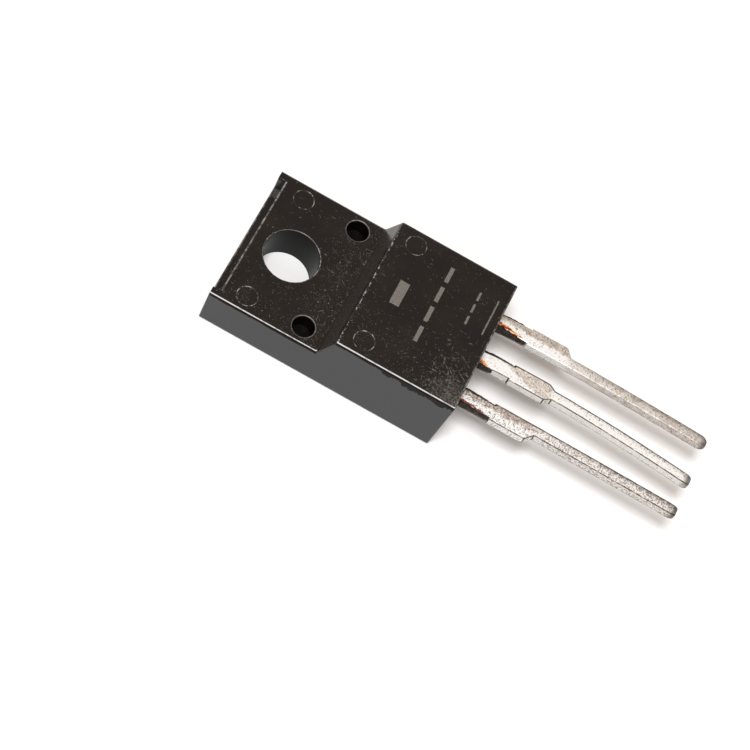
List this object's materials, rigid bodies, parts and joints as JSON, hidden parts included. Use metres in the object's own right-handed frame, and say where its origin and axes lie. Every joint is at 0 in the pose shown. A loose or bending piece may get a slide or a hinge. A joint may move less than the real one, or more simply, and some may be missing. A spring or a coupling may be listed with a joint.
{
  "type": "power transistor",
  "caption": "Power transistor moulded in black compound: a thick body, a thinner tab with a screw hole for a heat sink, and straight tinned leads for soldering.",
  "frame": {"origin": "centre of the screw hole on the back face, the one that goes against a heat sink", "axes": "+Z out of the marked front face, +Y from the leads towards the tab's end, +X to the right seen from the front"},
  "size_m": [0.01, 0.0296, 0.0045],
  "materials": {
    "moulding_compound": "black epoxy moulding compound, satin gloss, with fine dust and scuffs and a grey laser mark",
    "tinned_drain": "tin-plated copper alloy, dull and grainy, with bare copper at the root",
    "tinned_gate": "tin-plated copper alloy, dull and grainy, with bare copper at the root",
    "tinned_source": "tin-plated copper alloy, dull and grainy, with bare copper at the root",
    "solder": "dull grey solder",
    "silicon": "dark polished silicon",
    "bond_wire": "bright drawn aluminium wire"
  },
  "bodies": {
    "root": {"mould_case": "moulding_compound", "drain_frame": "tinned_drain", "gate_lead": "tinned_gate", "source_lead": "tinned_source", "die_solder": "solder", "silicon_die": "silicon", "gate_wire": "bond_wire", "source_wire_inner": "bond_wire", "source_wire_outer": "bond_wire"}
  },
  "joints": []
}
